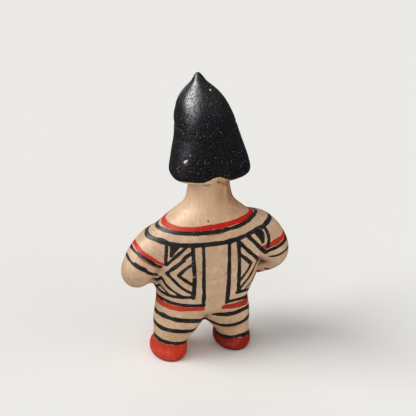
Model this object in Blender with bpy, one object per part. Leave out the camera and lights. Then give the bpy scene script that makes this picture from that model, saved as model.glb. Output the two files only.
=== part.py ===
"""A small standing figure of painted, fired clay, hand modelled in one solid piece.

Run with: blender --background --python part.py
Metres, +Z up. The figure faces -Y, so its left side is +X and its back is +Y.
The soles stand on Z = 0, and the origin is under the middle of the figure.
"""

import math

import bmesh
import bpy
from mathutils import Matrix, Vector

# Driving dimensions, in metres. The figure is one free form, so the tables further down keep
# its proportions in 152nds of its height.
FIGURE_HEIGHT = 0.152
UNIT = FIGURE_HEIGHT / 152

# The limbs are kneaded into the trunk, then the head and feet are pressed on and the whole is
# smoothed once more. The grain is how finely each stage is skinned over.
KNEADED_GRAIN = 1.1 * UNIT
KNEADING_PASSES = 22
SKIN_GRAIN = 0.9 * UNIT
SKIN_SMOOTHING_PASSES = 4
SKIN_TRIANGLE_SHARE = 0.115
RING_SEGMENTS = 40
RINGS_BETWEEN_KEYS = 4

# The soles are worn flat this far up into the modelled feet.
SOLE_WEAR = 0.7 * UNIT

# Each key ring: height, place to the left, place to the back, half width, half depth, and
# squareness, which is 2 for an ellipse and more for a rounded box.
# The trunk runs from the crotch to the top of the neck, and leans a little to the figure's right.
TRUNK_RINGS = (
    (27.0, -0.3, 0.2, 18.0, 11.0, 2.0),
    (32.0, -0.6, 0.2, 22.6, 15.6, 2.2),
    (40.0, -1.9, -0.4, 25.8, 17.6, 2.2),
    (47.0, -2.6, -0.5, 27.4, 18.2, 2.2),
    (58.0, -1.9, 0.0, 27.0, 17.8, 2.2),
    (70.0, -2.4, 1.2, 27.2, 16.0, 2.2),
    (77.0, -1.9, 2.0, 24.4, 14.2, 2.1),
    (82.0, -2.2, 2.7, 19.6, 12.4, 2.0),
    (86.5, -3.1, 3.1, 13.8, 11.2, 2.0),
    (91.0, -3.1, 3.2, 11.6, 10.6, 2.0),
    (104.0, -3.0, 3.2, 9.4, 10.2, 2.0),
)

# The bobbed hair is a flattened bell with a pinched peak. It leans forward and to the left as
# it rises.
HAIR_RINGS = (
    (101.0, -3.3, 3.2, 13.4, 9.0, 2.4),
    (101.7, -3.3, 3.2, 17.4, 11.6, 2.6),
    (104.0, -3.5, 3.2, 19.8, 13.4, 2.7),
    (107.8, -3.4, 3.1, 19.5, 13.7, 2.6),
    (114.0, -3.0, 2.6, 18.1, 14.0, 2.4),
    (122.0, -2.6, 1.6, 16.0, 14.4, 2.2),
    (131.0, -1.6, 0.4, 14.2, 14.4, 2.1),
    (138.0, -0.6, -0.4, 12.0, 12.6, 2.0),
    (143.2, 0.0, -0.8, 8.4, 9.0, 2.0),
    (147.6, 0.6, -0.8, 4.0, 4.4, 2.0),
    (150.6, 0.9, -0.8, 2.3, 2.3, 2.0),
    (152.7, 1.2, -0.8, 1.0, 1.0, 2.0),
)

# The hair's fringe is a low band, proud of the front only.
FRINGE_RINGS = (
    (128.2, -1.1, -1.4, 13.4, 13.2, 2.1),
    (129.4, -1.4, -1.7, 14.0, 14.2, 2.1),
    (132.6, -1.2, -1.6, 13.3, 13.8, 2.1),
    (136.5, -0.6, -1.0, 12.0, 12.4, 2.0),
)

# The arm hangs from the shoulder, bends at the elbow and comes forward on to the belly.
# Each key: distance out from the shoulders' middle, place to the back, height of the left arm and
# of the right one, and radius. The left shoulder is the lower one, and the left forearm is level.
SHOULDER_MIDDLE = -2.4
ARM_KEYS = (
    (10.0, 1.2, 66.8, 65.0, 10.4),
    (23.2, 1.4, 66.9, 68.3, 10.7),
    (31.2, 1.8, 61.1, 62.5, 9.8),
    (35.4, 1.6, 54.3, 54.5, 8.8),
    (34.6, -3.5, 49.3, 48.0, 8.2),
    (28.6, -10.0, 48.4, 42.6, 7.6),
    (20.0, -16.2, 47.0, 39.8, 7.0),
    (12.6, -19.0, 45.8, 39.4, 6.2),
)

# The legs are short cones, wide at the hip. Each key ring is as in the trunk, for the left leg.
LEG_RINGS = (
    (38.0, 11.6, 0.4, 11.8, 13.4, 2.0),
    (23.0, 12.5, 0.6, 13.1, 14.2, 2.0),
    (18.0, 13.8, 0.4, 11.9, 12.8, 2.0),
    (12.0, 16.1, 0.0, 9.8, 10.4, 2.0),
    (8.0, 17.1, -0.2, 8.8, 9.2, 2.0),
    (3.0, 17.1, -0.4, 8.6, 9.2, 2.0),
)
FOOT_RINGS = (
    (0.0, 17.3, -2.6, 9.0, 12.4, 2.0),
    (2.4, 17.4, -2.6, 9.9, 13.5, 2.0),
    (5.6, 17.3, -2.4, 9.6, 12.8, 2.0),
    (9.0, 17.0, -1.2, 8.2, 9.6, 2.0),
)

# The face is a flat fronted core, seen in an opening cut into the front of the hair.
FACE_RINGS = (
    (99.6, -3.0, 1.4, 7.0, 8.0, 2.0),
    (101.2, -3.0, 0.6, 9.6, 11.0, 2.2),
    (104.6, -3.0, 0.4, 11.2, 12.8, 2.3),
    (111.0, -2.9, 0.2, 11.8, 13.2, 2.3),
    (118.0, -2.6, 0.0, 11.6, 13.0, 2.3),
    (125.0, -2.1, -0.2, 10.8, 12.8, 2.3),
    (132.0, -1.5, -0.2, 9.8, 12.6, 2.3),
)
OPENING_RINGS = (
    (92.0, -3.0, -18.0, 12.8, 10.5, 3.0),
    (104.0, -3.0, -18.0, 12.6, 10.5, 3.0),
    (114.0, -2.8, -18.0, 12.4, 10.5, 3.0),
    (122.0, -2.4, -18.0, 11.4, 10.5, 3.0),
    (127.0, -2.0, -18.0, 10.0, 10.5, 3.0),
    (129.4, -1.8, -18.0, 8.0, 10.5, 3.0),
)
NOSE_KEYS = (
    (-2.3, -11.6, 125.0, 1.2),
    (-2.5, -12.8, 120.4, 1.7),
    (-2.6, -13.8, 116.2, 2.3),
)

# Clay pressed into the armpit: place to the left of the shoulders' middle, to the back and
# height, then half sizes.
ARMPIT = ((24.5, 2.6, 58.0), (7.0, 8.5, 9.0))

# The whole is moved this far to the left and to the back, to put the middle of its box on the
# origin.
CENTRING = (2.4, 3.4)

CLAY_COLOUR = (0.62, 0.43, 0.27, 1.0)
CLAY_ROUGHNESS = 0.62


def between(keys, steps):
    """The rows of a table with smooth rows added between them, by Catmull-Rom curves."""
    rows = []
    last = len(keys) - 1
    for i in range(last):
        before, start, end, after = (Vector(keys[min(max(k, 0), last)]) for k in range(i - 1, i + 3))
        for step in range(steps):
            t = step / steps
            rows.append(
                0.5
                * (
                    2 * start
                    + (end - before) * t
                    + (2 * before - 5 * start + 4 * end - after) * t**2
                    + (3 * start - before - 3 * end + after) * t**3
                )
            )
    rows.append(Vector(keys[-1]))
    return rows


def squared(place, squareness):
    """A point of the unit circle, moved out towards the corner of the square round it."""
    power = 2 / squareness
    return Vector([math.copysign(abs(value) ** power, value) for value in place])


def skin(bm, rings):
    """Bridges rings, each a matrix that places the unit circle and a squareness, into a shell."""
    loops = []
    for index, (matrix, squareness) in enumerate(rings):
        at_end = index in (0, len(rings) - 1)
        made = bmesh.ops.create_circle(bm, cap_ends=at_end, segments=RING_SEGMENTS, radius=1.0)
        for vert in made["verts"]:
            vert.co = matrix @ squared(vert.co, squareness)
        loops.append({edge for vert in made["verts"] for edge in vert.link_edges})
    for lower, upper in zip(loops, loops[1:]):
        bmesh.ops.bridge_loops(bm, edges=list(lower | upper))


def stack(bm, keys, side=1):
    """A shell through the level rings of a table. side -1 puts it on the figure's right."""
    rings = []
    for height, left, back, half_width, half_depth, squareness in between(keys, RINGS_BETWEEN_KEYS):
        centre = Matrix.Translation(UNIT * Vector((side * left, back, height)))
        size = Matrix.Diagonal((UNIT * half_width, UNIT * half_depth, UNIT, 1))
        rings.append((centre @ size, squareness))
    skin(bm, rings)


def limb(bm, keys):
    """A round shell along a path of points with a radius each, closed by a ball at its far end."""
    rows = between(keys, RINGS_BETWEEN_KEYS)
    points = [UNIT * row.xyz for row in rows]
    rings = []
    for i, (point, row) in enumerate(zip(points, rows)):
        along = points[min(i + 1, len(points) - 1)] - points[max(i - 1, 0)]
        turn = along.to_track_quat("Z", "Y").to_matrix().to_4x4()
        rings.append((Matrix.Translation(point) @ turn @ Matrix.Scale(UNIT * row.w, 4), 2.0))
    skin(bm, rings)
    ball(bm, rows[-1].xyz, (rows[-1].w,) * 3)


def ball(bm, centre, half_sizes):
    """An ellipsoid with its poles up and down."""
    matrix = Matrix.Translation(UNIT * Vector(centre)) @ Matrix.Diagonal(
        (*(UNIT * Vector(half_sizes)), 1)
    )
    bmesh.ops.create_uvsphere(
        bm, u_segments=RING_SEGMENTS, v_segments=RING_SEGMENTS // 2, radius=1.0, matrix=matrix
    )


def new_object(name, bm):
    """Turns the shells into an object, with every face pointing out."""
    bmesh.ops.recalc_face_normals(bm, faces=bm.faces)
    mesh = bpy.data.meshes.new(name)
    bm.to_mesh(mesh)
    bm.free()
    made = bpy.data.objects.new(name, mesh)
    bpy.context.scene.collection.objects.link(made)
    return made


def hide(cutter):
    """Marks a helper, which isn't part of the figure."""
    cutter.hide_render = True
    cutter.display_type = "WIRE"


def arm(bm, side):
    """One arm, with the clay that fills its armpit. side is 1 on the figure's left."""
    keys = []
    for out, back, left_height, right_height, radius in ARM_KEYS:
        height = left_height if side > 0 else right_height
        keys.append((SHOULDER_MIDDLE + side * out, back, height, radius))
    limb(bm, keys)
    (out, back, height), half_sizes = ARMPIT
    ball(bm, (SHOULDER_MIDDLE + side * out, back, height), half_sizes)


def skinned(source, grain, passes):
    """Gives an object one surface over all its shells, smoothed by the given passes."""
    joined = source.modifiers.new("joined clay", "REMESH")
    joined.mode = "VOXEL"
    joined.voxel_size = grain
    joined.use_smooth_shade = True
    smoothed = source.modifiers.new("smoothed by hand", "SMOOTH")
    smoothed.factor = 0.5
    smoothed.iterations = passes


def kneaded_body():
    """Trunk, arms and legs, run softly into each other."""
    bm = bmesh.new()
    stack(bm, TRUNK_RINGS)
    for side in (1, -1):
        stack(bm, LEG_RINGS, side)
        arm(bm, side)
    body = new_object("body_form", bm)
    hide(body)
    skinned(body, KNEADED_GRAIN, KNEADING_PASSES)
    return body


def opened_hair():
    """The bell of hair, with an opening in front where the face sits."""
    bm = bmesh.new()
    stack(bm, HAIR_RINGS)
    stack(bm, FRINGE_RINGS)
    hair = new_object("hair_form", bm)
    bm = bmesh.new()
    stack(bm, OPENING_RINGS)
    opening = new_object("face_opening", bm)
    hide(hair)
    hide(opening)
    cut = hair.modifiers.new("face opening", "BOOLEAN")
    cut.operation = "DIFFERENCE"
    cut.use_self = True
    cut.object = opening
    return hair


def evaluated_mesh(source):
    """A new mesh as the source's modifiers leave it."""
    graph = bpy.context.evaluated_depsgraph_get()
    return bpy.data.meshes.new_from_object(source.evaluated_get(graph))


def clay_material():
    """Pale buff clay, fired and burnished a little."""
    material = bpy.data.materials.new("painted_clay")
    material.use_nodes = True
    shader = material.node_tree.nodes["Principled BSDF"]
    shader.inputs["Base Color"].default_value = CLAY_COLOUR
    shader.inputs["Roughness"].default_value = CLAY_ROUGHNESS
    return material


def ground_cutter():
    """A slab whose top is the ground, to wear the soles flat."""
    bm = bmesh.new()
    size = FIGURE_HEIGHT
    bmesh.ops.create_cube(bm, size=size, matrix=Matrix.Translation((0, 0, -size / 2)))
    cutter = new_object("ground", bm)
    hide(cutter)
    return cutter


def clay_doll():
    """The whole figure: the masses joined, skinned over as one clay surface and worn flat below."""
    bm = bmesh.new()
    for form in (kneaded_body(), opened_hair()):
        bm.from_mesh(evaluated_mesh(form))
    for side in (1, -1):
        stack(bm, FOOT_RINGS, side)
    stack(bm, FACE_RINGS)
    limb(bm, NOSE_KEYS)
    bmesh.ops.translate(bm, verts=bm.verts, vec=(UNIT * CENTRING[0], UNIT * CENTRING[1], -SOLE_WEAR))
    doll = new_object("clay_doll", bm)
    skinned(doll, SKIN_GRAIN, SKIN_SMOOTHING_PASSES)
    thinned = doll.modifiers.new("fewer faces", "DECIMATE")
    thinned.ratio = SKIN_TRIANGLE_SHARE
    thinned.use_collapse_triangulate = True
    worn = doll.modifiers.new("flat soles", "BOOLEAN")
    worn.operation = "DIFFERENCE"
    worn.object = ground_cutter()
    doll.data.materials.append(clay_material())
    return doll


def main():
    for old in list(bpy.data.objects):
        bpy.data.objects.remove(old, do_unlink=True)
    clay_doll()


main()
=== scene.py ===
"""A hand-modelled doll of painted, fired clay, standing on a pale floor and seen from behind.

Metres, +Z up. The doll faces -Y, so its left is +X and its back is +Y.
"""

import math

import bmesh
import bpy
import numpy as np
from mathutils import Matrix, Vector, noise
from mathutils.bvhtree import BVHTree


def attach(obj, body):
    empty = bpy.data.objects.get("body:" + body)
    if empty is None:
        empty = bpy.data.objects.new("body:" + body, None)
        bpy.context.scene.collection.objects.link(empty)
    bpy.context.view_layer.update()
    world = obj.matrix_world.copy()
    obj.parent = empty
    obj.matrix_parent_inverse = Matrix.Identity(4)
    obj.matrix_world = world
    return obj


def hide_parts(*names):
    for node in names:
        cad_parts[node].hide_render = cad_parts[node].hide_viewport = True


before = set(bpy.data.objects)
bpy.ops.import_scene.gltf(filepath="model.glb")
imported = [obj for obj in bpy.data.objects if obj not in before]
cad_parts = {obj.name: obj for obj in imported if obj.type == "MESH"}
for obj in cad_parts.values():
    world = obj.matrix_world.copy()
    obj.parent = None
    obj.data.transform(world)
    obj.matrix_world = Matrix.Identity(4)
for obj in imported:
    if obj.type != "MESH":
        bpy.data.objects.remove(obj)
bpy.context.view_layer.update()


# The modelled clay.
# The doll is one piece of low-fired clay, pinched and rolled by hand and smoothed with wet fingers.
# Its skin here is a fine one laid over the doll's own solid, with the small dents of the fingers and
# the creases, cuts and pits pressed into it.

MM = 0.001
SKIN_GRAIN = 0.58 * MM
SAME_POINT = 0.01 * MM
SMOOTHING_PASSES = 14
PEAK_PASSES = 4
PEAK_BASE = 144.5 * MM


def fine_skin():
    """A fine mesh over the doll's solid, with the corners between its coarse faces smoothed away."""
    bm = bmesh.new()
    bm.from_mesh(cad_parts["clay_doll"].data)
    bmesh.ops.remove_doubles(bm, verts=bm.verts, dist=SAME_POINT)
    coarse = bpy.data.objects.new("coarse_clay", bpy.data.meshes.new("coarse_clay"))
    bm.to_mesh(coarse.data)
    bm.free()
    bpy.context.scene.collection.objects.link(coarse)
    skinning = coarse.modifiers.new("fine skin", "REMESH")
    skinning.mode = "VOXEL"
    skinning.voxel_size = SKIN_GRAIN
    graph = bpy.context.evaluated_depsgraph_get()
    fine = bpy.data.meshes.new_from_object(coarse.evaluated_get(graph))
    bpy.data.objects.remove(coarse, do_unlink=True)
    bm = bmesh.new()
    bm.from_mesh(fine)
    below_peak = [vert for vert in bm.verts if vert.co.z < PEAK_BASE]
    for smoothing in range(SMOOTHING_PASSES):
        smoothed = bm.verts if smoothing < PEAK_PASSES else below_peak
        bmesh.ops.smooth_vert(
            bm, verts=smoothed, factor=0.5, use_axis_x=True, use_axis_y=True, use_axis_z=True
        )
    bmesh.ops.triangulate(bm, faces=bm.faces)
    bm.normal_update()
    return bm


clay = fine_skin()
clay_touch = BVHTree.FromBMesh(clay)
doll_mesh = bpy.data.meshes.new("painted_doll")
clay.to_mesh(doll_mesh)
clay.free()
POINTS = len(doll_mesh.vertices)


def read_all(collection, field, shape, kind=float):
    """A field of every item of a mesh collection, as an array."""
    values = np.empty(len(collection) * shape, dtype=kind)
    collection.foreach_get(field, values)
    return values.reshape(-1, shape)


skin = read_all(doll_mesh.vertices, "co", 3) / MM
outward = read_all(doll_mesh.vertices, "normal", 3)

# A place on the skin is named in one of three ways: as seen from straight behind or in front, by a
# turn round a limb and a distance along it, or by the nearest skin to a point. All in millimetres.

FAR = 80


def behind(x, z):
    """The skin seen from straight behind."""
    return clay_touch.ray_cast(Vector((x, FAR, z)) * MM, Vector((0, -1, 0)))[0]


def in_front(x, z):
    """The skin seen from straight in front."""
    return clay_touch.ray_cast(Vector((x, -FAR, z)) * MM, Vector((0, 1, 0)))[0]


def touched(x, y, z):
    """The skin nearest to a point."""
    return clay_touch.find_nearest(Vector((x, y, z)) * MM)[0]


def round_limb(start, end, widest):
    """Names places by their turn from the back towards the doll's left, and distance from start."""
    start = Vector(start)
    axis = (Vector(end) - start).normalized()
    back = Vector((0, 1, 0))
    back = (back - axis * back.dot(axis)).normalized()
    left = Vector((1, 0, 0))
    left = left - axis * left.dot(axis)
    left = (left - back * left.dot(back)).normalized()

    def place(turn, along):
        turn = math.radians(turn)
        across = math.cos(turn) * back + math.sin(turn) * left
        return clay_touch.ray_cast((start + axis * along) * MM, across, widest * MM)[0]

    return place


# Each limb is given by its axis and by how far out from that its skin can be.

TRUNK_AXIS = (-0.5, 3.0)
LEFT_LEG_AXIS = (18.5, 3.0)
RIGHT_LEG_AXIS = (-13.7, 3.0)
round_trunk = round_limb((*TRUNK_AXIS, 0), (*TRUNK_AXIS, 100), 42)
round_head = round_limb((*TRUNK_AXIS, 0), (*TRUNK_AXIS, 150), 42)
round_left_leg = round_limb((*LEFT_LEG_AXIS, 0), (*LEFT_LEG_AXIS, 100), 18)
round_right_leg = round_limb((*RIGHT_LEG_AXIS, 0), (*RIGHT_LEG_AXIS, 100), 18)
round_left_arm = round_limb((23.2, 4.8, 66.7), (35.4, 5.0, 54.3), 16)
round_right_arm = round_limb((-23.2, 4.8, 69.1), (-35.4, 5.0, 54.5), 16)
round_left_forearm = round_limb((34.6, -0.1, 49.3), (12.6, -15.6, 45.8), 12)
round_right_forearm = round_limb((-34.6, -0.1, 48.0), (-12.6, -15.6, 39.4), 12)

FULL_TURN = 360
LINE_STEP = 0.3
SWELL_LENGTH = 4
REACH_MARGIN = 3.0
OUT_OF_REACH = -9.0
LINE_CHUNK = 20


def curve_through(keys, closed):
    """Close points on a smooth curve through the keys. A closed one is a ring of turns."""
    keys = [Vector(key) for key in keys]
    count = len(keys)

    def key_at(index):
        if closed:
            return keys[index % count] + Vector((FULL_TURN * (index // count), 0))
        return keys[min(max(index, 0), count - 1)]

    points = []
    for start in range(count if closed else count - 1):
        before, here, there, after = (key_at(start + step) for step in (-1, 0, 1, 2))
        steps = max(2, math.ceil((there - here).length / LINE_STEP))
        for step in range(steps):
            t = step / steps
            straight = here * 2 + (there - before) * t
            bend = (before * 2 - here * 5 + there * 4 - after) * t * t
            twist = (here * 3 - before - there * 3 + after) * t * t * t
            points.append((straight + bend + twist) / 2)
    if not closed:
        points.append(keys[-1])
    return points


def reach_of(place, keys, width, closed=False, unsteady=0.0):
    """How deep each point of the skin lies inside a line drawn over it, negative outside the line.

    A width of two numbers is the width at the line's start and at its end. An unsteady line swells
    and thins, as one from a hand-held brush does.
    """
    curve = curve_through(keys, closed)
    start_width, end_width = width if isinstance(width, tuple) else (width, width)
    line = []
    halves = []
    run = 0.0
    for step, point in enumerate(curve):
        landed = place(*point)
        if landed is None:
            continue
        landed = landed / MM
        if line:
            run += (landed - line[-1]).length
        share = step / len(curve)
        swell = 1 + unsteady * noise.noise(Vector((run / SWELL_LENGTH, keys[0][0], keys[0][1])))
        halves.append((start_width + (end_width - start_width) * share) / 2 * swell)
        line.append(landed)
    line = np.array(line)
    halves = np.array(halves)
    reach = np.full(POINTS, OUT_OF_REACH)
    for start in range(0, len(line), LINE_CHUNK):
        part = line[start:start + LINE_CHUNK]
        low = part.min(axis=0) - REACH_MARGIN
        high = part.max(axis=0) + REACH_MARGIN
        near = np.flatnonzero(((skin > low) & (skin < high)).all(axis=1))
        gaps = np.linalg.norm(skin[near][:, None] - part[None], axis=2)
        depth = (halves[start:start + LINE_CHUNK] - gaps).max(axis=1, initial=OUT_OF_REACH)
        reach[near] = np.maximum(reach[near], depth)
    return reach


# Dents of the fingers over the whole doll, shallow and never outwards.

pressed = np.zeros(POINTS)
for wavelength, depth in ((9.0, 0.22), (3.2, 0.06)):
    pressed += [
        depth * (0.5 - 0.5 * noise.noise(Vector(point) / wavelength)) for point in skin
    ]
SOLE_EDGE = 2.0
pressed *= np.clip(skin[:, 2] / SOLE_EDGE, 0, 1)


def groove(place, keys, width, depth, closed=False):
    """Presses a round-bottomed line into the clay."""
    share = np.clip(reach_of(place, keys, width, closed) / (width / 2), 0, 1)
    return depth * share * share * (3 - 2 * share)


def distance_from(place):
    """How far each point of the skin is from the skin nearest to a place."""
    return np.linalg.norm(skin - np.array(touched(*place)) / MM, axis=1)


def dab(place, radius):
    """A soft round dab: 1 in its middle, and fading to 0."""
    return np.exp(-((distance_from(place) / radius) ** 2))


def dent(place, radius, depth):
    """Presses a round hollow into the clay."""
    return depth * dab(place, radius)


# Short cuts made with a stick part the four fingers of a hand and the five toes of a foot.

FINGER_WIDTH = 2.8
for side, middle_cut in ((1, 45.8), (-1, 39.2)):
    for height in (middle_cut + FINGER_WIDTH, middle_cut, middle_cut - FINGER_WIDTH):
        finger_cut = ((side * 15.5, height), (side * 10, height - 0.4), (side * 6.6, height - 0.8))
        pressed += groove(in_front, finger_cut, 1.5, 0.7)
for middle in (19.7, -15.0):
    for aside in (-5.2, -1.8, 1.6, 4.8):
        pressed += groove(in_front, ((middle + aside, 0.6), (middle + aside, 6.0)), 1.3, 0.6)

# Two eye hollows, a mouth line, a navel, and the line where the hair meets the face.

FACE_OUTLINE = (
    (-9.4, 99.0), (-9.5, 108.0), (-9.9, 116.0), (-9.2, 123.0), (-7.6, 127.2), (-3.8, 128.7),
    (0.0, 129.0), (3.6, 128.7), (7.3, 127.2), (9.3, 123.0), (9.6, 116.0), (9.1, 108.0), (9.0, 99.0),
)
MOUTH = ((-2.6, 109.2), (0.0, 108.8), (2.6, 109.2))
pressed += groove(in_front, FACE_OUTLINE, 1.6, 0.55)
pressed += dent((-4.6, -9.0, 119.6), 2.2, 0.45)
pressed += dent((4.4, -9.0, 119.6), 2.2, 0.45)
pressed += groove(in_front, MOUTH, 1.2, 0.4)
pressed += dent((0.0, -12.0, 47.0), 1.1, 0.5)

# The one hole and the crease that the clay was left with, under the hem of the hair.

HOLE = ((-1.2, 19.0, 101.9), (-1.8, 18.6, 101.4), (-2.9, 17.0, 100.3))
HOLE_LIP = ((-2.9, 17.0, 100.3), (-4.2, 16.4, 99.6), (-6.4, 14.9, 98.2), (-8.3, 13.3, 97.4))
CREASE = ((5.4, 15.4, 99.7), (3.5, 15.9, 99.3), (1.9, 16.6, 99.9))
pressed += groove(touched, HOLE, 1.8, 1.0)
pressed += groove(touched, HOLE_LIP, 1.4, 0.6)
pressed += groove(touched, CREASE, 1.4, 0.8)

# The creases between the arms and the trunk, and under the roll of the fringe.

LEFT_ARM_CREASE = ((24.2, 14.5, 58.2), (26.5, 13.9, 56.6), (28.5, 12.6, 53.4), (29.6, 10.6, 50.5))
RIGHT_ARM_CREASE = ((-24.6, 13.9, 55.0), (-26.6, 12.0, 52.0), (-28.4, 8.5, 48.0))
FRINGE_CREASE = ((140, 127.6), (110, 127.0), (84, 126.6), (62, 127.2))
pressed += groove(touched, LEFT_ARM_CREASE, 1.8, 0.6)
pressed += groove(touched, RIGHT_ARM_CREASE, 2.4, 0.8)
for side in (1, -1):
    pressed += groove(round_head, [(side * turn, height) for turn, height in FRINGE_CREASE], 2.0, 0.7)

# Pits in the clay, chips in the hair, and the two deep hollows where the forearms leave the trunk.

for place, radius, depth in (
    ((3.2, 18.3, 81.4), 0.6, 0.4),
    ((41.9, 9.7, 51.3), 0.7, 0.35),
    ((37.3, 12.9, 51.5), 0.6, 0.3),
    ((-15.3, 15.0, 15.4), 0.5, 0.3),
    ((13.5, 16.0, 113.2), 1.0, 0.35),
    ((11.6, 16.7, 116.3), 0.5, 0.25),
    ((16.3, 13.7, 110.1), 0.5, 0.2),
    ((-0.9, 8.4, 144.4), 0.6, 0.3),
    ((-27.8, 9.0, 48.6), 2.2, 1.8),
    ((30.2, 7.6, 46.6), 2.8, 2.6),
):
    pressed += dent(place, radius, depth)

doll_mesh.vertices.foreach_set("co", ((skin - outward * pressed[:, None]) * MM).ravel())
doll_mesh.update()
doll_mesh.shade_smooth()
doll = bpy.data.objects.new("painted_doll", doll_mesh)
bpy.context.scene.collection.objects.link(doll)
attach(doll, "root")
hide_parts("clay_doll")


def keep(name, values):
    """Stores one value for each point of the skin, for the material to read."""
    doll_mesh.attributes.new(name, "FLOAT", "POINT").data.foreach_set("value", values)


# How far each place lies under the same skin with its dents and creases smoothed away.

HOLLOW_PASSES = 70
edges = read_all(doll_mesh.edges, "vertices", 2, int)
neighbours = np.bincount(edges.ravel(), minlength=POINTS)[:, None]
modelled = skin - outward * pressed[:, None]
eased = modelled.copy()
for easing in range(HOLLOW_PASSES):
    around = np.column_stack([
        np.bincount(edges[:, 0], eased[edges[:, 1], axis], POINTS)
        + np.bincount(edges[:, 1], eased[edges[:, 0], axis], POINTS)
        for axis in range(3)
    ])
    eased += 0.5 * (around / neighbours - eased)
# These depths let the material paint shade into the hollows.
keep("hollow", ((eased - modelled) * outward).sum(axis=1))


# The black lines.
# They are drawn freehand with a thin brush and a black plant juice: rings round the shoulders and
# limbs, and on the back a strip between two panels of chevrons.

BLACK_LINE = 1.9
UNSTEADY_BRUSH = 0.3
black = np.full(POINTS, OUT_OF_REACH)


def draw(paint, place, keys, width=BLACK_LINE, closed=False):
    """Lays one brush stroke into a paint."""
    np.maximum(paint, reach_of(place, keys, width, closed, UNSTEADY_BRUSH), out=paint)


SHOULDER_RING = (
    (0, 76.0), (20, 75.9), (43, 76.0), (65, 76.2), (90, 76.6), (115, 77.2), (145, 75.4), (180, 74.2),
    (215, 75.4), (245, 77.0), (265, 77.6), (281, 77.4), (299, 76.8), (322, 76.3), (345, 76.1),
)
YOKE = (
    (3, 69.9), (27, 70.0), (41, 70.1), (53, 70.1), (62, 70.6), (68, 71.8), (75, 72.7), (81, 73.3),
    (90, 74.2), (105, 74.4), (125, 73.0), (150, 70.2), (180, 68.8), (210, 70.2), (235, 73.0),
    (257, 74.2), (272, 74.0), (281, 73.8), (287, 73.2), (294, 71.8), (303, 70.8), (322, 70.2),
    (345, 69.8),
)
draw(black, round_trunk, SHOULDER_RING, 2.1, closed=True)
draw(black, round_trunk, YOKE, 2.5, closed=True)

# The strip down the spine, whose two lines turn outwards over the hips.
draw(black, behind, ((6.2, 70.0), (6.1, 61.0), (6.2, 52.0), (6.0, 42.0), (6.3, 35.2)), (1.6, 2.0))
draw(black, behind, ((-7.1, 70.0), (-7.0, 61.0), (-6.9, 49.0), (-6.6, 42.5), (-6.4, 34.8)), (1.8, 2.6))
draw(
    black, round_trunk,
    ((21, 35.4), (28, 35.6), (43, 35.8), (59, 36.5), (74, 36.9), (90, 36.0), (112, 35.5)),
    (2.2, 1.8),
)
draw(
    black, round_trunk,
    ((-20, 35.0), (-37, 34.5), (-50, 33.6), (-64, 32.2), (-80, 31.5), (-112, 32.5)),
    2.0,
)

# The left panel: its upright inside line, its foot, the chevrons, and the triangles in its corners.
draw(black, behind, ((11.3, 69.6), (11.1, 61.5), (10.7, 53.0), (10.9, 46.0), (11.3, 40.6)), (1.8, 2.5))
draw(black, behind, ((11.8, 66.2), (14.3, 64.2), (15.6, 62.8)), 1.9)
draw(black, behind, ((15.7, 62.0), (19.2, 58.3), (23.3, 54.0)), (2.2, 1.7))
draw(black, behind, ((23.3, 53.8), (20.1, 50.0), (16.6, 46.2), (12.0, 43.2)), 1.8)
draw(black, behind, ((11.8, 59.8), (15.2, 56.9), (18.2, 53.3)), 1.7)
draw(black, behind, ((18.2, 53.2), (15.0, 50.7), (12.0, 48.5)), 1.8)
draw(black, behind, ((14.2, 69.3), (18.7, 64.4), (23.2, 59.0)), 1.7)
draw(black, behind, ((23.1, 70.2), (23.6, 65.4), (23.8, 58.8)), 1.8)
draw(black, behind, ((18.8, 69.6), (20.9, 64.4)), (3.4, 1.2))
draw(black, behind, ((20.7, 69.6), (21.3, 63.8)), (2.4, 1.2))
draw(
    black, round_trunk,
    ((35, 41.0), (50, 40.7), (61, 40.5), (75, 40.9), (87, 41.7), (100, 42.0)),
    1.8,
)
draw(black, touched, ((27.3, 6.8, 46.0), (26.5, 9.2, 48.2), (25.6, 12.0, 50.9)), (1.4, 1.8))
draw(black, round_trunk, ((71, 50.9), (68.5, 46.9), (58.6, 43.5), (49.7, 41.2)), (1.7, 1.4))
draw(black, round_trunk, ((96, 41.9), (84.5, 42.5), (78, 44.6)), 1.4)
draw(black, round_trunk, ((78, 44.8), (73, 43.8), (66, 41.4)), 1.2)

# The right panel is the same, but drawn a little wider.
draw(black, behind, ((-12.0, 69.8), (-12.4, 62.5), (-12.7, 56.5), (-12.5, 47.0), (-12.5, 39.2)), 2.2)
draw(black, behind, ((-12.2, 68.6), (-15.2, 64.8), (-19.7, 59.4), (-24.7, 53.4)), 1.9)
draw(
    black, behind,
    ((-24.6, 53.4), (-22.2, 49.4), (-18.6, 45.8), (-15.4, 43.2), (-12.8, 40.4)),
    (1.6, 1.9),
)
draw(black, behind, ((-12.8, 61.6), (-16.7, 57.2), (-20.2, 53.2)), (1.7, 2.0))
draw(black, behind, ((-20.2, 53.2), (-17.9, 50.6), (-15.3, 48.2), (-12.8, 45.6)), (1.9, 1.5))
draw(black, behind, ((-17.6, 69.9), (-22.3, 64.1), (-26.1, 59.3), (-28.6, 56.8)), 2.1)
draw(black, behind, ((-27.2, 71.6), (-28.9, 68.4), (-29.5, 65.0), (-29.3, 60.4)), 1.8)
draw(black, behind, ((-22.6, 70.3), (-25.2, 66.6), (-26.2, 63.4)), (2.6, 1.6))
draw(black, behind, ((-24.6, 70.6), (-26.2, 67.8), (-26.6, 63.6)), (2.2, 1.6))
draw(black, round_trunk, ((-35, 39.4), (-44, 38.8), (-58, 37.4), (-74, 36.0), (-100, 36.0)), 1.9)
draw(black, round_trunk, ((-46, 38.4), (-58, 41.0), (-70, 45.0)), 1.3)

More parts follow.
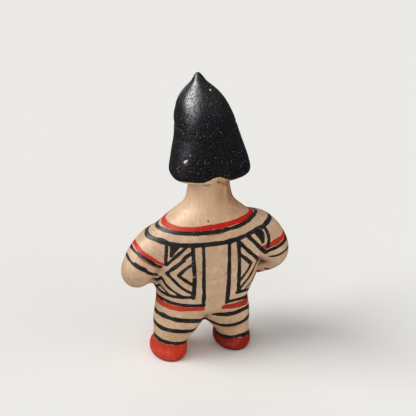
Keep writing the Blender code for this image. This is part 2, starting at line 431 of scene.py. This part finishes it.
# The front, plainer: the strip goes on between the hands, with a pair of chevrons on each breast.
for side in (1, -1):
    draw(black, in_front, ((side * 4.6, 69.0), (side * 4.4, 52.0), (side * 4.4, 34.5)))
    draw(black, in_front, ((side * 9.2, 69.0), (side * 9.2, 51.6)))
    draw(black, in_front, ((side * 9.2, 66.8), (side * 13.8, 63.4), (side * 18.2, 59.6)))
    draw(black, in_front, ((side * 18.2, 59.6), (side * 13.8, 55.8), (side * 9.2, 52.6)))
    draw(black, in_front, ((side * 9.2, 62.4), (side * 13.0, 59.6), (side * 9.2, 57.0)))

# The rings round the arms and the legs.
draw(
    black, round_left_arm,
    ((210, 9.2), (180, 10.2), (140, 11.0), (110, 11.0), (86, 10.9), (66, 10.8), (44, 10.0), (23, 9.4),
     (-3, 9.2), (-25, 8.6)),
    1.6,
)
draw(
    black, round_left_arm,
    ((205, 13.6), (160, 14.8), (120, 15.4), (87, 15.6), (65, 15.9), (46, 15.9), (25, 15.3), (6, 14.6),
     (-18, 14.3), (-42, 13.5)),
    (1.5, 1.9),
)
draw(black, round_left_arm, ((43, 15.5), (26, 14.9), (9, 14.1)), 2.3)
draw(
    black, round_right_arm,
    ((-205, 12.6), (-170, 14.6), (-130, 17.0), (-90, 17.6), (-57, 16.9), (-22, 15.2), (3, 13.5),
     (25, 12.4)),
    2.1,
)
draw(
    black, round_right_arm,
    ((-200, 17.6), (-150, 20.6), (-100, 22.4), (-60, 22.2), (-44, 21.8), (-15, 20.2), (6, 18.8),
     (25, 16.9)),
    (2.2, 1.1),
)
draw(black, round_right_forearm, ((-30, 0.8), (-50, 0.0), (-90, -0.6), (-140, 0.0), (-200, 1.0)), 1.9)
draw(
    black, round_right_forearm,
    ((-30, 10.4), (-90, 9.2), (-140, 9.6), (-200, 10.2), (-240, 10.6)),
    1.9,
)
draw(black, round_left_forearm, ((40, 6.6), (90, 6.4), (140, 6.6), (200, 6.8), (250, 7.2)), 1.9)
draw(black, round_left_forearm, ((50, 13.8), (90, 13.4), (140, 13.6), (200, 13.8), (250, 14.2)), 1.9)
draw(
    black, round_left_leg,
    ((120, 27.0), (81, 27.4), (50, 28.0), (34, 28.3), (13, 27.9), (-16, 26.7), (-34, 25.0), (-64, 21.3),
     (-95, 20.4), (-125, 22.6), (-160, 25.4), (-200, 26.6)),
    2.4,
)
draw(
    black, round_left_leg,
    ((0, 20.8), (18, 20.9), (47, 20.8), (90, 20.8), (130, 20.8), (180, 20.6), (220, 18.8), (270, 16.8),
     (310, 17.8), (337, 19.6)),
    2.7, closed=True,
)
draw(
    black, round_left_leg,
    ((0, 11.1), (19, 11.8), (51, 12.5), (85, 12.6), (120, 12.2), (180, 11.6), (240, 10.0), (290, 9.6),
     (331, 10.0)),
    2.8, closed=True,
)
draw(
    black, round_right_leg,
    ((60, 25.4), (47, 26.3), (33, 26.5), (16, 26.6), (-4, 26.9), (-26, 26.2), (-47, 25.0), (-80, 24.2),
     (-130, 24.8), (-180, 25.8), (-215, 24.8), (-245, 22.6), (-270, 21.8), (-295, 24.0)),
    2.4,
)
draw(
    black, round_right_leg,
    ((0, 19.3), (19, 19.0), (37, 18.9), (52, 19.6), (75, 20.2), (110, 19.0), (180, 19.4), (230, 18.6),
     (270, 18.2), (305, 18.8), (330, 19.4)),
    2.5, closed=True,
)
draw(
    black, round_right_leg,
    ((0, 8.7), (22, 8.3), (54, 7.9), (92, 7.7), (130, 8.2), (180, 8.6), (230, 7.4), (270, 6.9),
     (302, 7.2), (345, 8.8)),
    2.4, closed=True,
)

# A scratch across the inside line of the left panel.
SCRATCH = ((12.0, 19.8, 52.6), (11.0, 20.0, 52.7), (10.0, 20.2, 52.9))
keep("black_line", np.minimum(black, -reach_of(touched, SCRATCH, 0.5)))


# The red bands.
# A thin clay slip, brushed on in bands beside the black ones, and over the whole of both feet.

RED_BAND = 2.7
red = np.full(POINTS, OUT_OF_REACH)
COLLAR = (
    (7, 78.4), (29, 78.0), (47, 77.8), (61, 78.1), (76, 78.6), (90, 79.2), (100, 79.8), (120, 79.6),
    (150, 77.6), (180, 76.4), (210, 77.6), (240, 79.2), (262, 79.0), (281, 78.4), (298, 78.5),
    (319, 78.7), (344, 78.5),
)
draw(red, round_trunk, COLLAR, RED_BAND, closed=True)
draw(
    red, round_trunk,
    ((23, 33.2), (36, 33.4), (49, 33.7), (64, 34.2), (77, 34.3), (88, 33.6), (112, 33.0)),
    (2.4, 3.4),
)
draw(
    red, round_trunk,
    ((-17, 31.8), (-31, 31.2), (-46, 30.7), (-59, 30.0), (-68, 29.8), (-112, 30.2)),
    (3.2, 3.8),
)
draw(
    red, round_left_arm,
    ((210, 7.0), (170, 8.0), (130, 8.6), (90, 8.3), (64, 8.5), (41, 8.2), (18, 7.7), (-6, 7.3),
     (-21, 6.9)),
    (3.0, 1.6),
)
draw(
    red, round_right_arm,
    ((-205, 10.4), (-165, 12.4), (-130, 14.4), (-90, 15.4), (-62, 14.6), (-31, 12.6), (-8, 11.0),
     (18, 9.6)),
    3.1,
)
draw(
    red, round_right_forearm,
    ((-24, 6.6), (-60, 5.4), (-90, 5.0), (-140, 5.4), (-200, 6.0), (-240, 6.4)),
    3.2,
)
draw(red, round_left_forearm, ((45, 10.2), (90, 10.0), (140, 10.2), (200, 10.4), (250, 10.8)), 3.2)


def dipped(axis, tops, on_this_leg):
    """How far each point of one leg lies below the top of the red on its foot."""
    turns = np.degrees(np.arctan2(skin[:, 0] - axis[0], skin[:, 1] - axis[1]))
    top_turns, heights = zip(*tops)
    depth = np.interp(turns, top_turns, heights, period=FULL_TURN) - skin[:, 2]
    return np.where(on_this_leg, depth, OUT_OF_REACH)


BETWEEN_THE_LEGS = 2.4
LEFT_FOOT_TOP = (
    (0, 9.8), (35, 10.6), (60, 11.0), (90, 11.0), (134, 9.6), (180, 8.4), (230, 8.2), (290, 8.2),
    (325, 8.8),
)
RIGHT_FOOT_TOP = (
    (3, 7.6), (41, 7.0), (90, 6.5), (140, 6.6), (180, 6.6), (240, 6.2), (309, 6.2), (340, 7.2),
)
left_foot = dipped(LEFT_LEG_AXIS, LEFT_FOOT_TOP, skin[:, 0] > BETWEEN_THE_LEGS)
right_foot = dipped(RIGHT_LEG_AXIS, RIGHT_FOOT_TOP, skin[:, 0] < BETWEEN_THE_LEGS)
keep("red_band", np.maximum.reduce([red, left_foot, right_foot]))

# Smudges left by fingers with red on them.

smudges = np.zeros(POINTS)
for place, radius in (
    ((28.1, 15.0, 64.9), 1.8),
    ((25.2, 15.2, 63.9), 1.4),
    ((26.4, 15.2, 66.0), 1.2),
    ((8.3, 20.5, 55.6), 1.5),
    ((-5.1, 20.9, 52.4), 1.2),
    ((4.0, 20.0, 72.6), 1.0),
):
    smudges = np.maximum(smudges, dab(place, radius))
keep("red_smudge", smudges)


# The hair and the face.
# The hair is coated with a thick black gloss down to a wavering edge, where a lip of bare clay is
# left. The face has painted eyes and brows and a small red mouth.

HAIR_AXIS = (-0.9, 6.6)
HAIR_HEM = (
    (4, 105.0), (10, 104.6), (16, 103.6), (27, 102.4), (37, 102.3), (48, 102.8), (60, 102.6), (74, 102.0),
    (95, 101.8), (120, 102.4), (150, 102.0), (180, 102.2), (210, 102.2), (240, 102.4), (265, 101.8),
    (290, 102.2), (311, 102.2), (317, 101.8), (329, 102.0), (343, 103.6), (353, 104.9),
)
turns = np.degrees(np.arctan2(skin[:, 0] - HAIR_AXIS[0], skin[:, 1] - HAIR_AXIS[1]))
hem_turns, hem_heights = zip(*HAIR_HEM)
above_hem = skin[:, 2] - np.interp(turns, hem_turns, hem_heights, period=FULL_TURN)
TOP_OF_FACE = 6
right_hairline = np.array(FACE_OUTLINE[:TOP_OF_FACE + 1])
left_hairline = np.array(FACE_OUTLINE[:TOP_OF_FACE - 1:-1])
right_edge = np.interp(skin[:, 2], right_hairline[:, 1], right_hairline[:, 0])
left_edge = np.interp(skin[:, 2], left_hairline[:, 1], left_hairline[:, 0])
beside_face = np.maximum(right_edge - skin[:, 0], skin[:, 0] - left_edge)
BACK_OF_FACE = 3.0
beside_face = np.where(skin[:, 1] < BACK_OF_FACE, beside_face, -OUT_OF_REACH)
keep("black_hair", np.minimum(above_hem, beside_face))

EYE_LINE = 1.0
PUPIL = 1.5
BROW_LINE = 1.1
MOUTH_LINE = 1.3
features = np.full(POINTS, OUT_OF_REACH)
for side in (1, -1):
    for lid in (120.6, 118.4):
        eye = ((side * 2.6, 119.4), (side * 4.6, lid), (side * 6.8, 119.6))
        draw(features, in_front, eye, EYE_LINE)
    draw(features, in_front, ((side * 4.4, 119.5), (side * 4.8, 119.5)), PUPIL)
    brow = ((side * 2.0, 123.0), (side * 4.8, 124.2), (side * 7.4, 122.8))
    draw(features, in_front, brow, BROW_LINE)
keep("face_line", features)
mouth = np.full(POINTS, OUT_OF_REACH)
draw(mouth, in_front, MOUTH, MOUTH_LINE)
keep("mouth_line", mouth)


def spot(paint, place, size):
    """Lays one round spot into a paint."""
    np.maximum(paint, size / 2 - distance_from(place), out=paint)


# Chips knocked out of the black of the hair.

chips = np.full(POINTS, OUT_OF_REACH)
for place, size in (
    ((13.9, 15.8, 112.9), 1.4),
    ((13.0, 16.2, 113.7), 1.0),
    ((11.6, 16.7, 116.3), 0.5),
    ((16.3, 13.7, 110.1), 0.35),
    ((-0.9, 8.4, 144.4), 1.1),
):
    spot(chips, place, size)
keep("bare_chip", chips)


# The grime, the painted shade and the open pits.
# Handling has left brown grime on the neck, more of it on the right, where it is partly painted shade
# under the hair. Painted shade, with some grime, darkens the crooks of the arms and a few spots on
# the body. The hole, the crease and the pits in the clay are painted dark inside, as shade.

NECK_GRIME_AND_SHADE = (78.0, 92.0)
NECK_SIDES = (-4.0, 12.0)
up_the_neck = np.interp(skin[:, 2], NECK_GRIME_AND_SHADE, (0, 1))
to_the_right = np.interp(-skin[:, 0], NECK_SIDES, (0.0, 1.35))
grime_and_shade = up_the_neck * to_the_right
# Painted shade in the crooks of the arms, on the right of the neck and inside the right thigh, with some
# grime.
for place, radius, strength in (
    ((-27.8, 9.0, 48.6), 3.0, 1.6),
    ((-26.0, 12.5, 52.6), 2.4, 1.1),
    ((27.5, 13.9, 56.3), 2.2, 0.7),
    ((29.8, 12.6, 52.6), 2.0, 0.6),
    ((-8.8, 14.8, 87.0), 4.0, 0.7),
    ((-9.5, 14.5, 20.5), 6.0, 0.35),
    ((-32.3, 14.2, 66.0), 2.4, 0.5),
):
    grime_and_shade = np.maximum(grime_and_shade, strength * dab(place, radius))

# The brown between a black line and the red beside it, where both brushes left a gap.

GAP_WIDTH = 1.5
GAP_FADE = 0.4
GAP_STRENGTH = 2.0
for place, keys in (
    (round_left_arm, ((50, 11.1), (30, 10.7), (10, 10.2), (-14, 9.7))),
    (round_trunk, ((14, 75.0), (2, 75.0), (-12, 75.1))),
):
    between = np.clip(reach_of(place, keys, GAP_WIDTH) / GAP_FADE, 0, 1)
    grime_and_shade = np.maximum(grime_and_shade, GAP_STRENGTH * between)
keep("grime_and_shade", grime_and_shade)

# The hole, the crease and the pits are painted dark inside, as painted shade.
pits = np.maximum(reach_of(touched, HOLE, (1.3, 0.6)), reach_of(touched, CREASE, 0.3))
for place, size in (
    ((3.2, 18.3, 81.4), 0.9),
    ((3.0, 17.5, 84.6), 0.4),
    ((41.9, 9.7, 51.3), 0.9),
    ((37.3, 12.9, 51.5), 0.7),
    ((-15.3, 15.0, 15.4), 0.7),
):
    spot(pits, place, size)
keep("dark_pit", pits)


# The finish of the clay and the paints.
# The clay is rubbed with a pebble before firing, so it is buff, streaked and a little shiny, with
# open pits. The paints sink in at their edges and wear off in specks.


def node(tree, kind, inputs, **settings):
    """Adds a node. inputs gives each socket its value, or the socket that feeds it."""
    made = tree.nodes.new("ShaderNode" + kind)
    for setting, value in settings.items():
        setattr(made, setting, value)
    for socket, value in inputs.items():
        if isinstance(value, bpy.types.NodeSocket):
            tree.links.new(value, made.inputs[socket])
        else:
            made.inputs[socket].default_value = value
    return made


def maths(tree, operation, *values):
    """The result of a Math node."""
    return node(tree, "Math", dict(enumerate(values)), operation=operation).outputs[0]


def ramped(tree, value, low, high, start=0.0, end=1.0):
    """A value eased from start at low to end at high."""
    inputs = {"Value": value, "From Min": low, "From Max": high, "To Min": start, "To Max": end}
    return node(tree, "MapRange", inputs, interpolation_type="SMOOTHSTEP").outputs[0]


def tinted(tree, share, under, over):
    """One colour laid over another by a share."""
    return node(tree, "Mix", {0: share, 6: under, 7: over}, data_type="RGBA").outputs[2]


def stored(tree, name):
    """A value kept for each point of the skin."""
    return node(tree, "Attribute", {}, attribute_name=name).outputs["Fac"]


def grain(tree, scale, detail=2.0, stretch=(1, 1, 1)):
    """Noise over the doll, scale in grains per metre."""
    place = node(tree, "TexCoord", {}).outputs["Object"]
    if stretch != (1, 1, 1):
        place = node(tree, "Mapping", {"Vector": place, "Scale": stretch}).outputs[0]
    return node(tree, "TexNoise", {"Vector": place, "Scale": scale, "Detail": detail}).outputs[0]


def new_group(name, inputs, outputs):
    """An empty node group with its sockets, as (tree, its input node, its output node)."""
    tree = bpy.data.node_groups.new(name, "ShaderNodeTree")
    for label, kind, value in inputs:
        socket = tree.interface.new_socket(name=label, in_out="INPUT", socket_type=kind)
        socket.default_value = value
    for label, kind in outputs:
        tree.interface.new_socket(name=label, in_out="OUTPUT", socket_type=kind)
    return tree, tree.nodes.new("NodeGroupInput"), tree.nodes.new("NodeGroupOutput")


FLOAT = "NodeSocketFloat"


def brushed_group():
    """Where a brushed paint covers the clay, from its reach: frayed edges and worn specks."""
    tree, given, result = new_group(
        "brushed_paint",
        [("Reach", FLOAT, 0.0), ("Fray", FLOAT, 0.25), ("Wear", FLOAT, 0.1)],
        [("Cover", FLOAT), ("Thin", FLOAT)],
    )
    soft_edge = 0.09
    frayed = maths(tree, "SUBTRACT", grain(tree, 900.0, 3.0), 0.5)
    edge = maths(tree, "MULTIPLY_ADD", frayed, given.outputs["Fray"], given.outputs["Reach"])
    cover = ramped(tree, edge, -soft_edge, soft_edge)
    specks = ramped(tree, grain(tree, 1500.0, 3.0), 0.30, 0.38, start=1.0, end=0.0)
    patches = ramped(tree, grain(tree, 160.0), 0.35, 0.65)
    lost = maths(tree, "MULTIPLY", maths(tree, "MULTIPLY", specks, patches), given.outputs["Wear"])
    left = maths(tree, "SUBTRACT", 1.0, lost)
    thin = ramped(tree, grain(tree, 420.0, 3.0), 0.35, 0.7)
    tree.links.new(maths(tree, "MULTIPLY", cover, left), result.inputs["Cover"])
    tree.links.new(thin, result.inputs["Thin"])
    return tree


def pits_group():
    """Small round pits scattered over a surface: a mask of their mouths."""
    tree, given, result = new_group(
        "open_pits",
        [("Per Metre", FLOAT, 900.0), ("Size", FLOAT, 0.25), ("Share", FLOAT, 0.3)],
        [("Mask", FLOAT)],
    )
    place = node(tree, "TexCoord", {}).outputs["Object"]
    cells = node(tree, "TexVoronoi", {"Vector": place, "Scale": given.outputs["Per Metre"]})
    near = maths(tree, "DIVIDE", cells.outputs["Distance"], given.outputs["Size"])
    chosen = node(tree, "SeparateColor", {0: cells.outputs["Color"]}).outputs[0]
    kept = maths(tree, "LESS_THAN", chosen, given.outputs["Share"])
    mask = maths(tree, "MULTIPLY", ramped(tree, near, 0.6, 1.0, start=1.0, end=0.0), kept)
    tree.links.new(mask, result.inputs["Mask"])
    return tree


brushed_paint = brushed_group()
open_pits = pits_group()


def brushed(tree, name, fray, wear):
    """A paint laid where the skin keeps a value of this name."""
    inputs = {"Reach": stored(tree, name), "Fray": fray, "Wear": wear}
    return node(tree, "Group", inputs, node_tree=brushed_paint)


def pitted(tree, per_metre, size, share):
    """The mouths of scattered pits."""
    inputs = {"Per Metre": per_metre, "Size": size, "Share": share}
    return node(tree, "Group", inputs, node_tree=open_pits).outputs["Mask"]


painted = bpy.data.materials.new("painted_clay")
painted.use_nodes = True
tree = painted.node_tree
finish = tree.nodes["Principled BSDF"]
finish.inputs["Specular IOR Level"].default_value = 0.5
finish.inputs["Coat Roughness"].default_value = 0.33
finish.inputs["Coat IOR"].default_value = 1.75

on_doll = node(tree, "SeparateXYZ", {0: node(tree, "TexCoord", {}).outputs["Object"]})
across = on_doll.outputs[0]
height = on_doll.outputs[2]

# The bare clay is mottled, streaked upwards by the rubbing, yellower on the legs and lighter on the
# neck. Brown grime, partly painted shade, and red smudges lie on it, and its hollows and small pits
# are darkened with painted shade. Where one tone gives way to the next along the doll, the two
# heights are in metres.

BUFF = (0.64, 0.455, 0.300, 1)
DEEP_BUFF = (0.57, 0.385, 0.240, 1)
PALE_BUFF = (0.76, 0.58, 0.43, 1)
ROSY_BUFF = (0.62, 0.38, 0.255, 1)
NECK_BUFF = (0.84, 0.59, 0.38, 1)
LEG_YELLOW = (0.64, 0.42, 0.22, 1)
STREAK_BROWN = (0.42, 0.245, 0.145, 1)
NECK_BROWN = (0.35, 0.165, 0.07, 1)
HOLLOW_SHADE = (0.10, 0.05, 0.025, 1)
PIT_SHADE_BROWN = (0.16, 0.09, 0.05, 1)
SLIP_RED = (0.55, 0.007, 0.005, 1)
UPRIGHT = (1, 1, 0.12)
LEVEL = (0.3, 0.3, 1)
SQUASHED = (1, 1, 1.1)
NECK_BASE = (0.076, 0.090)
LEGS = (0.010, 0.040)
SMUDGE = 0.55

body = tinted(tree, ramped(tree, grain(tree, 70.0), 0.35, 0.68), BUFF, DEEP_BUFF)
body = tinted(tree, ramped(tree, grain(tree, 240.0, 4.0), 0.45, 0.72, end=0.55), body, PALE_BUFF)
rosy = ramped(tree, grain(tree, 420.0, 3.0, LEVEL), 0.48, 0.72, end=0.5)
body = tinted(tree, rosy, body, ROSY_BUFF)
streaks = ramped(tree, grain(tree, 620.0, 3.0, UPRIGHT), 0.44, 0.62)
streaked = ramped(tree, height, *NECK_BASE, start=0.10, end=0.28)
body = tinted(tree, maths(tree, "MULTIPLY", streaks, streaked), body, STREAK_BROWN)
body = tinted(tree, ramped(tree, height, *LEGS, start=0.5, end=0.0), body, LEG_YELLOW)
dark_flecks = ramped(tree, grain(tree, 1300.0, 4.0), 0.54, 0.66, end=0.42)
body = tinted(tree, dark_flecks, body, STREAK_BROWN)
pale_flecks = ramped(tree, grain(tree, 1700.0, 3.0, SQUASHED), 0.54, 0.66, end=0.4)
body = tinted(tree, pale_flecks, body, PALE_BUFF)
# The clay is lighter up the neck.
body = tinted(tree, ramped(tree, height, *NECK_BASE, end=0.5), body, NECK_BUFF)
# Brown streaks of grime, and painted shade on the right of the neck and in the crooks of the arms.
grime_streaks = ramped(tree, grain(tree, 480.0, 3.0, UPRIGHT), 0.34, 0.58, start=0.6, end=1.0)
grime_and_shade_share = maths(tree, "MULTIPLY", stored(tree, "grime_and_shade"), grime_streaks)
body = tinted(tree, grime_and_shade_share, body, NECK_BROWN)
# Painted shade: the deeper hollows of the skin are darkened.
body = tinted(tree, ramped(tree, stored(tree, "hollow"), 0.15, 1.2, end=0.7), body, HOLLOW_SHADE)
smudge_grain = ramped(tree, grain(tree, 900.0, 2.0), 0.48, 0.60)
smudge = maths(tree, "MULTIPLY", stored(tree, "red_smudge"), smudge_grain)
body = tinted(tree, maths(tree, "MULTIPLY", smudge, SMUDGE), body, SLIP_RED)
# Painted shade in the mouths of the small pits.
clay_pits = pitted(tree, 300.0, 0.10, 0.22)
body = tinted(tree, clay_pits, body, PIT_SHADE_BROWN)

# The red slip is worn thin and orange low down, and more orange towards the doll's left. On the right
# foot and hip it is darkened with painted shade, on the side away from the light. It is scuffed near
# the soles, and its bottom edge is darkened with painted shade where the doll meets the floor.

SHADED_SLIP = (0.24, 0.010, 0.006, 1)
ORANGE_RED = (0.56, 0.060, 0.018, 1)
SCUFFED_RED = (0.62, 0.16, 0.09, 1)
SOLE_SHADE = (0.05, 0.012, 0.008, 1)
UNDER_SHOULDERS = (0.058, 0.074)
HIPS = (0.058, 0.068)
FEET = (0.008, 0.012)
SCUFFED_EDGE = (0.0012, 0.0065)
SHADED_EDGE = (0.0003, 0.0014)
LEFT_SIDE = (0.004, 0.018)
RIGHT_SIDE = (0.001, 0.004)

red_mark = brushed(tree, "red_band", 0.5, 0.35)
# The slip turns orange low down, where it is worn thin, and towards the doll's left.
handled_low = ramped(tree, height, *UNDER_SHOULDERS, start=1.0, end=0.15)
orange_to_left = ramped(tree, across, *LEFT_SIDE, end=0.75)
orange_share = maths(tree, "MAXIMUM", handled_low, orange_to_left)
thin_slip = ramped(tree, red_mark.outputs["Thin"], 0.0, 0.8, start=0.6, end=1.0)
slip = tinted(tree, maths(tree, "MULTIPLY", thin_slip, orange_share), SLIP_RED, ORANGE_RED)
# Painted shade: the slip is darker on the right foot and hip, away from the light.
shade_on_feet = ramped(tree, height, *FEET, start=1.0, end=0.0)
shade_on_hips = ramped(tree, height, *HIPS, start=0.5, end=0.0)
slip_shade = maths(tree, "MAXIMUM", shade_on_feet, shade_on_hips)
slip_shade = maths(tree, "MULTIPLY", slip_shade, ramped(tree, grain(tree, 330.0, 3.0), 0.35, 0.65, start=0.5, end=0.9))
slip_shade = maths(tree, "MULTIPLY", ramped(tree, across, *RIGHT_SIDE, start=1.0, end=0.0), slip_shade)
slip = tinted(tree, slip_shade, slip, SHADED_SLIP)
scuffs = ramped(tree, grain(tree, 520.0, 4.0, LEVEL), 0.52, 0.66)
near_sole = ramped(tree, height, *SCUFFED_EDGE, start=0.5, end=0.0)
slip = tinted(tree, maths(tree, "MULTIPLY", scuffs, near_sole), slip, SCUFFED_RED)
body = tinted(tree, red_mark.outputs["Cover"], body, slip)
# Painted shade along the bottom edge of the feet, where they meet the floor.
body = tinted(tree, ramped(tree, height, *SHADED_EDGE, start=0.9, end=0.0), body, SOLE_SHADE)
body = tinted(tree, brushed(tree, "mouth_line", 0.4, 0.3).outputs["Cover"], body, SLIP_RED)

# The black of the lines is matt, and browner where it is thin. The black of the hair is a thick gloss
# with fine grey specks, knocked off in a few chips.

LINE_BLACK = (0.018, 0.019, 0.020, 1)
WORN_BLACK = (0.055, 0.045, 0.038, 1)
HAIR_BLACK = (0.008, 0.007, 0.012, 1)
HAIR_BROWN = (0.016, 0.011, 0.011, 1)
HAIR_SPECK = (0.24, 0.22, 0.19, 1)
FINE_SPECK = (0.05, 0.047, 0.045, 1)
PIT_SHADE_BLACK = (0.02, 0.012, 0.008, 1)
CHIPPED_CLAY = (0.80, 0.63, 0.46, 1)

black_mark = brushed(tree, "black_line", 0.45, 0.7)
thin_black = maths(tree, "MULTIPLY", black_mark.outputs["Thin"], 0.5)
worn_black = tinted(tree, thin_black, LINE_BLACK, WORN_BLACK)
body = tinted(tree, black_mark.outputs["Cover"], body, worn_black)
body = tinted(tree, brushed(tree, "face_line", 0.3, 0.3).outputs["Cover"], body, LINE_BLACK)
hair_mark = brushed(tree, "black_hair", 0.9, 0.0)
hair_tint = tinted(tree, ramped(tree, grain(tree, 110.0), 0.5, 0.75), HAIR_BLACK, HAIR_BROWN)
hair_tint = tinted(tree, pitted(tree, 1300.0, 0.36, 0.4), hair_tint, FINE_SPECK)
hair_tint = tinted(tree, pitted(tree, 620.0, 0.20, 0.4), hair_tint, HAIR_SPECK)
body = tinted(tree, hair_mark.outputs["Cover"], body, hair_tint)
# Painted shade inside the hole, the crease and the pits.
body = tinted(tree, brushed(tree, "dark_pit", 0.5, 0.0).outputs["Cover"], body, PIT_SHADE_BLACK)
chipped = brushed(tree, "bare_chip", 0.8, 0.0).outputs["Cover"]
body = tinted(tree, chipped, body, CHIPPED_CLAY)
tree.links.new(body, finish.inputs["Base Color"])

# The hair shines, the rubbed clay a little, and the slip not at all.

CLAY_SHINE = 0.22
PIT_DULLNESS = -0.75
hair_cover = maths(tree, "MULTIPLY", hair_mark.outputs["Cover"], maths(tree, "SUBTRACT", 1.0, chipped))
hair_pits = pitted(tree, 900.0, 0.46, 0.9)
clay_rough = ramped(tree, grain(tree, 210.0, 3.0), 0.3, 0.7, start=0.44, end=0.62)
hair_rough = ramped(tree, grain(tree, 500.0, 3.0), 0.3, 0.7, start=0.26, end=0.40)
bare_clay = maths(tree, "SUBTRACT", 1.0, red_mark.outputs["Cover"])
clay_shine = maths(tree, "MULTIPLY", bare_clay, CLAY_SHINE)
hair_shine = maths(tree, "MULTIPLY_ADD", hair_pits, PIT_DULLNESS, 1.0)
for socket, on_clay, on_hair in (
    ("Roughness", clay_rough, hair_rough),
    ("Coat Weight", clay_shine, hair_shine),
):
    mixed = node(tree, "Mix", {0: hair_cover, 2: on_clay, 3: on_hair}, data_type="FLOAT")
    tree.links.new(mixed.outputs[0], finish.inputs[socket])

# The relief, in millimetres: grain, streaks and pits in the clay, and the lumpy coat of the hair.

hair_lumps = maths(tree, "MULTIPLY", grain(tree, 420.0, 3.0), hair_cover)
hair_grain = maths(tree, "MULTIPLY", grain(tree, 1500.0, 2.0), hair_cover)
relief = maths(tree, "MULTIPLY", grain(tree, 1400.0, 3.0), 0.05)
for shape, rise in (
    (clay_pits, -0.14),
    (maths(tree, "MULTIPLY", hair_pits, hair_cover), -0.26),
    (hair_lumps, 0.28),
    (hair_grain, 0.14),
    (streaks, -0.035),
):
    relief = maths(tree, "MULTIPLY_ADD", shape, rise, relief)
bump = node(tree, "Bump", {"Strength": 1.0, "Distance": MM, "Height": relief})
tree.links.new(bump.outputs[0], finish.inputs["Normal"])
doll_mesh.materials.append(painted)


# The studio.
# A pale sheet of paper runs out of sight under a large soft light on the doll's left, with another
# overhead, a wide card that only shines on the hair, and weak fills. The room is dim, but it looks as
# pale as the paper.

PAPER = (0.8, 0.797, 0.79, 1)
PAPER_HALF_WIDTH = 6
floor_mesh = bpy.data.meshes.new("floor")
bm = bmesh.new()
bmesh.ops.create_grid(bm, x_segments=1, y_segments=1, size=PAPER_HALF_WIDTH)
bm.to_mesh(floor_mesh)
bm.free()
floor = bpy.data.objects.new("floor", floor_mesh)
bpy.context.scene.collection.objects.link(floor)
paper = bpy.data.materials.new("pale_paper")
paper.use_nodes = True
sheet = paper.node_tree.nodes["Principled BSDF"]
sheet.inputs["Base Color"].default_value = PAPER
sheet.inputs["Roughness"].default_value = 0.9
sheet.inputs["Specular IOR Level"].default_value = 0.1
floor_mesh.materials.append(paper)


def towards(turn, rise):
    """Away from the doll, turned from its back towards its left, and raised from the floor."""
    turn = math.radians(turn)
    rise = math.radians(rise)
    return Vector((math.sin(turn) * math.cos(rise), math.cos(turn) * math.cos(rise), math.sin(rise)))


def facing_the_doll(source):
    """Turns a light or a camera to look back along a direction."""
    return source.to_track_quat("Z", "Y").to_euler()


CAMERA_AIM = Vector((-0.9, 4.4, 81.5)) * MM
CAMERA_DISTANCE = 0.484
to_camera = towards(turn=17, rise=26.5)
camera_data = bpy.data.cameras.new("camera")
camera_data.lens = 85
camera_data.sensor_width = 36
camera_data.clip_start = 0.01
camera = bpy.data.objects.new("camera", camera_data)
camera.location = CAMERA_AIM + CAMERA_DISTANCE * to_camera
camera.rotation_euler = facing_the_doll(to_camera)
bpy.context.scene.collection.objects.link(camera)
bpy.context.scene.camera = camera


def shine(name, turn, rise, strength, spread, colour):
    """A distant soft light, as wide as its spread in degrees."""
    data = bpy.data.lights.new(name, "SUN")
    data.energy = strength
    data.angle = math.radians(spread)
    data.color = colour
    light = bpy.data.objects.new(name, data)
    light.rotation_euler = facing_the_doll(towards(turn, rise))
    bpy.context.scene.collection.objects.link(light)
    return light


DAYLIGHT = (1.0, 0.99, 0.97)
WARM = (1.0, 0.985, 0.965)
COOL = (0.95, 0.92, 1.0)
WHITE = (1.0, 1.0, 1.0)
shine("key_light", turn=99, rise=43, strength=1.6, spread=38, colour=DAYLIGHT)
shine("overhead_light", turn=74, rise=64, strength=0.55, spread=42, colour=DAYLIGHT)
card = shine("left_card", turn=72, rise=31, strength=1.35, spread=52, colour=COOL)
front = shine("front_card", turn=188, rise=20, strength=0.3, spread=60, colour=WHITE)
fill = shine("fill_light", turn=-50, rise=22, strength=1.0, spread=60, colour=WARM)
low_fill = shine("low_fill_light", turn=20, rise=24, strength=0.42, spread=60, colour=WARM)

# The fills and the floor don't shine in the hair, as behind dark cards, so its black stays deep. The
# wide fill and the front card cast no shadow, and the left card gives gloss alone.
for unseen in (fill, low_fill, floor):
    unseen.visible_glossy = False
for light in (fill, front):
    light.data.use_shadow = False
card.visible_diffuse = False

ROOM_WHITE = (1.0, 0.997, 0.987, 1)
HORIZON_GLOW = 0.05
OVERHEAD_GLOW = 0.22
BACKDROP_GLOW = 0.68
room = bpy.data.worlds.new("room")
bpy.context.scene.world = room
room.use_nodes = True
room_tree = room.node_tree
skywards = node(room_tree, "SeparateXYZ", {0: node(room_tree, "TexCoord", {}).outputs["Generated"]})
glow = ramped(room_tree, skywards.outputs[2], 0.0, 1.0, start=HORIZON_GLOW, end=OVERHEAD_GLOW)
seen = node(room_tree, "LightPath", {}).outputs["Is Camera Ray"]
seen_glow = node(room_tree, "Mix", {0: seen, 2: glow, 3: BACKDROP_GLOW}, data_type="FLOAT")
background = room_tree.nodes["Background"]
background.inputs["Color"].default_value = ROOM_WHITE
room_tree.links.new(seen_glow.outputs[0], background.inputs["Strength"])
bpy.context.scene.view_settings.view_transform = "Standard"
bpy.context.scene.view_settings.look = "Medium High Contrast"
